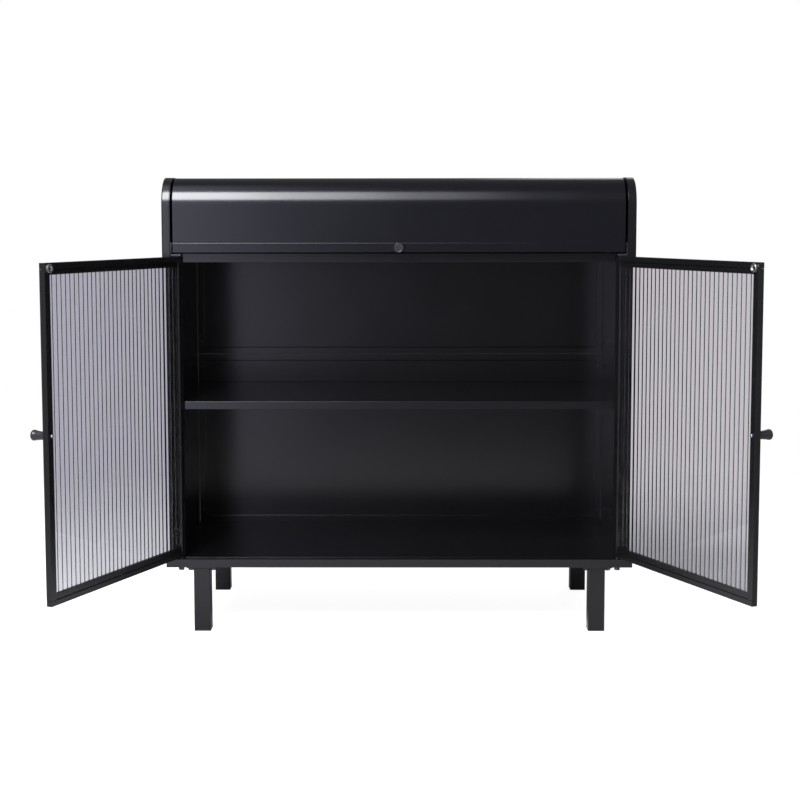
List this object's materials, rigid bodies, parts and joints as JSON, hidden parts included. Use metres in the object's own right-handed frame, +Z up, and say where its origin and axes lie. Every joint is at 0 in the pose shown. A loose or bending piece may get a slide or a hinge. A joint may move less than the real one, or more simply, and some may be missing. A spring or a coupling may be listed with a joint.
{
  "type": "media cabinet",
  "caption": "Low black steel cabinet on square legs, with a bull-nosed lift-up lid over a shelved cupboard closed by pivot-hung fluted glass doors.",
  "frame": {"origin": "on the floor, in the middle of the cabinet's width, in the plane of the side panels' front rims; with the doors standing open as stored this is also the middle of the bounding box's base, within a few millimetres", "axes": "+Z up, +Y to the back of the cabinet, +X to its right as seen from the front"},
  "size_m": [1.2483, 0.7606, 0.8819],
  "materials": {
    "black_steel": "satin black powder coat",
    "black_door_frame": "satin black powder coat",
    "black_knob": "semi-gloss black lacquer on turned metal",
    "blackened_steel": "black zinc plate",
    "zinc_steel": "bright zinc plate",
    "nickel": "bright nickel plate",
    "black_plastic": "moulded",
    "fluted_glass": "clear pressed glass, reeded on its outer face"
  },
  "bodies": {
    "carcass": {"left_side_panel": "black_steel", "right_side_panel": "black_steel", "left_inner_wall": "black_steel", "right_inner_wall": "black_steel", "base_tray": "black_steel", "floor_panel": "black_steel", "shelf": "black_steel", "deck_panel": "black_steel", "shelf_clip_left_front": "blackened_steel", "shelf_clip_left_rear": "blackened_steel", "shelf_clip_right_front": "blackened_steel", "shelf_clip_right_rear": "blackened_steel", "lower_back_panel": "black_steel", "upper_back_panel": "black_steel", "rear_top_rail": "black_steel", "leg_front_left": "black_steel", "leg_rear_left": "black_steel", "leg_front_right": "black_steel", "leg_rear_right": "black_steel", "foot_glide_front_left": "black_plastic", "foot_glide_rear_left": "black_plastic", "foot_glide_front_right": "black_plastic", "foot_glide_rear_right": "black_plastic", "left_lower_pivot_bolt": "blackened_steel", "right_lower_pivot_bolt": "blackened_steel", "left_upper_pivot_bracket": "blackened_steel", "right_upper_pivot_bracket": "blackened_steel", "lid_hinge_fixed_leaf": "black_steel", "lid_hinge_pin": "zinc_steel"},
    "lid": {"lid_panel": "black_steel", "lid_knob": "black_knob", "lid_knob_screw": "zinc_steel", "lid_bumper_left": "black_plastic", "lid_bumper_right": "black_plastic", "lid_hinge_moving_leaf": "black_steel"},
    "left_door": {"left_door_hinge_stile": "black_door_frame", "left_door_free_stile": "black_door_frame", "left_door_top_rail": "black_door_frame", "left_door_bottom_rail": "black_door_frame", "left_door_top_glazing_bead": "black_door_frame", "left_door_bottom_glazing_bead": "black_door_frame", "left_door_glass": "fluted_glass", "left_door_lower_bush": "black_plastic", "left_door_upper_bush": "black_plastic", "left_door_knob": "black_knob", "left_door_knob_screw": "zinc_steel", "left_door_magnet": "nickel"},
    "right_door": {"right_door_hinge_stile": "black_door_frame", "right_door_free_stile": "black_door_frame", "right_door_top_rail": "black_door_frame", "right_door_bottom_rail": "black_door_frame", "right_door_top_glazing_bead": "black_door_frame", "right_door_bottom_glazing_bead": "black_door_frame", "right_door_glass": "fluted_glass", "right_door_lower_bush": "black_plastic", "right_door_upper_bush": "black_plastic", "right_door_knob": "black_knob", "right_door_knob_screw": "zinc_steel", "right_door_magnet": "nickel"}
  },
  "joints": [
    {"name": "lid_hinge", "type": "hinge", "parent": "carcass", "child": "lid", "pos_m": [0, 0.349, 0.8795], "axis": [-1, 0, 0], "range_deg": [0, 85]},
    {"name": "left_door_hinge", "type": "hinge", "parent": "carcass", "child": "left_door", "pos_m": [-0.4215, 0.007, 0.438], "axis": [0, 0, -1], "range_deg": [-113.4, 8.6]},
    {"name": "right_door_hinge", "type": "hinge", "parent": "carcass", "child": "right_door", "pos_m": [0.4215, 0.007, 0.438], "axis": [0, 0, 1], "range_deg": [-115.4, 6.6]}
  ]
}
